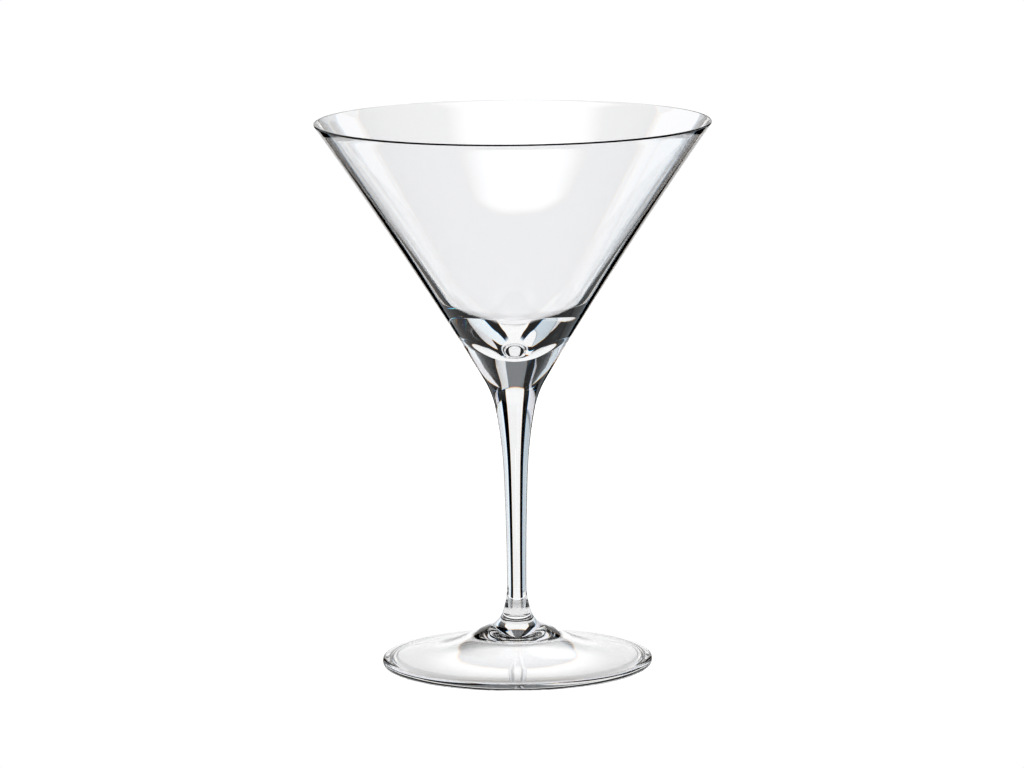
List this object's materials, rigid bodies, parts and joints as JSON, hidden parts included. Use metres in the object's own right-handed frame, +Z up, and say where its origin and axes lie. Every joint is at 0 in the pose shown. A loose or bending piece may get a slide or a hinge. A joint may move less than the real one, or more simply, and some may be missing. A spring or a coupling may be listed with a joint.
{
  "type": "martini glass",
  "caption": "Stemmed cocktail glass with a wide conical bowl on a heavy base, a slim drawn stem that swells into a conical head, and a domed round foot, all in clear glass.",
  "frame": {"origin": "centre of the ring that the foot stands on, at the height of the table", "axes": "+Z up along the glass's own axis, from the foot to the rim; the glass is the same all round, so X and Y are any two level directions"},
  "size_m": [0.124, 0.124, 0.172],
  "materials": {
    "clear_glass": "fire-polished, colourless"
  },
  "bodies": {
    "root": {"bowl": "clear_glass", "stem": "clear_glass", "foot": "clear_glass"}
  },
  "joints": []
}
